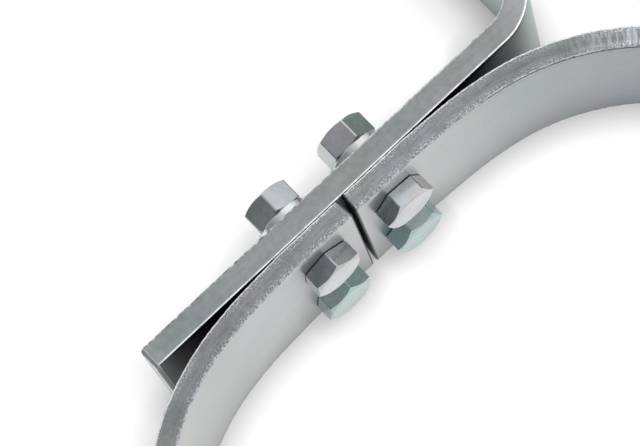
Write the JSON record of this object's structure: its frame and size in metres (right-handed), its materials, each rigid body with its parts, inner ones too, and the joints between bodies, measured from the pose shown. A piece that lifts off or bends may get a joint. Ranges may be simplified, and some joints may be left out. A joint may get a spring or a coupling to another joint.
{
  "type": "pipe clamp with mounting arm",
  "caption": "Round flat-steel pipe clamp of two half bands, bolted to a cranked bar whose arm stands away from the ring for mounting.",
  "frame": {"origin": "middle of the footprint, on the face the clamp lies on", "axes": "+Z is the pipe axis and the width of the strips, +Y points from the closing ears to the tip of the mounting arm, +X is the side the arm is on"},
  "size_m": [0.23, 0.3408, 0.05],
  "materials": {
    "zinc_bar": "zinc plated hot-rolled flat bar, satin",
    "zinc_band": "zinc plated strip with sheared edges, satin",
    "zinc_hardware": "bright zinc plated hexagon hardware"
  },
  "bodies": {
    "clamp": {"mounting_bar": "zinc_bar", "band_right": "zinc_band", "band_left": "zinc_band", "joint_bolt_right_upper": "zinc_hardware", "joint_bolt_right_lower": "zinc_hardware", "joint_bolt_left_upper": "zinc_hardware", "joint_bolt_left_lower": "zinc_hardware", "ear_bolt_upper": "zinc_hardware", "ear_head_washer_upper": "zinc_hardware", "ear_bolt_lower": "zinc_hardware", "ear_head_washer_lower": "zinc_hardware"},
    "washers_right_upper": {"joint_washer_right_upper": "zinc_hardware", "joint_spring_washer_right_upper": "zinc_hardware"},
    "nut_right_upper": {"joint_nut_right_upper": "zinc_hardware"},
    "washers_right_lower": {"joint_washer_right_lower": "zinc_hardware", "joint_spring_washer_right_lower": "zinc_hardware"},
    "nut_right_lower": {"joint_nut_right_lower": "zinc_hardware"},
    "washers_left_upper": {"joint_washer_left_upper": "zinc_hardware", "joint_spring_washer_left_upper": "zinc_hardware"},
    "nut_left_upper": {"joint_nut_left_upper": "zinc_hardware"},
    "washers_left_lower": {"joint_washer_left_lower": "zinc_hardware", "joint_spring_washer_left_lower": "zinc_hardware"},
    "nut_left_lower": {"joint_nut_left_lower": "zinc_hardware"},
    "ear_washers_upper": {"ear_nut_washer_upper": "zinc_hardware", "ear_spring_washer_upper": "zinc_hardware"},
    "ear_nut_upper_body": {"ear_nut_upper": "zinc_hardware"},
    "ear_washers_lower": {"ear_nut_washer_lower": "zinc_hardware", "ear_spring_washer_lower": "zinc_hardware"},
    "ear_nut_lower_body": {"ear_nut_lower": "zinc_hardware"}
  },
  "joints": [
    {"name": "nut_travel_right_upper", "type": "slide", "parent": "clamp", "child": "washers_right_upper", "axis": [0, 1, 0], "range_m": [0, 0.003]},
    {"name": "nut_turn_right_upper", "type": "hinge", "parent": "washers_right_upper", "child": "nut_right_upper", "pos_m": [0.012, 0.09338, 0.035], "axis": [0, 1, 0], "range_deg": [0, 864]},
    {"name": "nut_travel_right_lower", "type": "slide", "parent": "clamp", "child": "washers_right_lower", "axis": [0, 1, 0], "range_m": [0, 0.003]},
    {"name": "nut_turn_right_lower", "type": "hinge", "parent": "washers_right_lower", "child": "nut_right_lower", "pos_m": [0.012, 0.09338, 0.01], "axis": [0, 1, 0], "range_deg": [0, 864]},
    {"name": "nut_travel_left_upper", "type": "slide", "parent": "clamp", "child": "washers_left_upper", "axis": [0, 1, 0], "range_m": [0, 0.003]},
    {"name": "nut_turn_left_upper", "type": "hinge", "parent": "washers_left_upper", "child": "nut_left_upper", "pos_m": [-0.012, 0.09338, 0.035], "axis": [0, 1, 0], "range_deg": [0, 864]},
    {"name": "nut_travel_left_lower", "type": "slide", "parent": "clamp", "child": "washers_left_lower", "axis": [0, 1, 0], "range_m": [0, 0.003]},
    {"name": "nut_turn_left_lower", "type": "hinge", "parent": "washers_left_lower", "child": "nut_left_lower", "pos_m": [-0.012, 0.09338, 0.01], "axis": [0, 1, 0], "range_deg": [0, 864]},
    {"name": "ear_nut_travel_upper", "type": "slide", "parent": "clamp", "child": "ear_washers_upper", "axis": [1, 0, 0], "range_m": [0, 0.006]},
    {"name": "ear_nut_turn_upper", "type": "hinge", "parent": "ear_washers_upper", "child": "ear_nut_upper_body", "pos_m": [0.017, -0.15738, 0.035], "axis": [1, 0, 0], "range_deg": [0, 1728]},
    {"name": "ear_nut_travel_lower", "type": "slide", "parent": "clamp", "child": "ear_washers_lower", "axis": [1, 0, 0], "range_m": [0, 0.006]},
    {"name": "ear_nut_turn_lower", "type": "hinge", "parent": "ear_washers_lower", "child": "ear_nut_lower_body", "pos_m": [0.017, -0.15738, 0.01], "axis": [1, 0, 0], "range_deg": [0, 1728]}
  ],
  "couplings": [
    {"joint": "nut_turn_right_upper", "follows": "nut_travel_right_upper", "rad_per_m": 5026.5},
    {"joint": "nut_turn_right_lower", "follows": "nut_travel_right_lower", "rad_per_m": 5026.5},
    {"joint": "nut_turn_left_upper", "follows": "nut_travel_left_upper", "rad_per_m": 5026.5},
    {"joint": "nut_turn_left_lower", "follows": "nut_travel_left_lower", "rad_per_m": 5026.5},
    {"joint": "ear_nut_turn_upper", "follows": "ear_nut_travel_upper", "rad_per_m": 5026.5},
    {"joint": "ear_nut_turn_lower", "follows": "ear_nut_travel_lower", "rad_per_m": 5026.5}
  ]
}
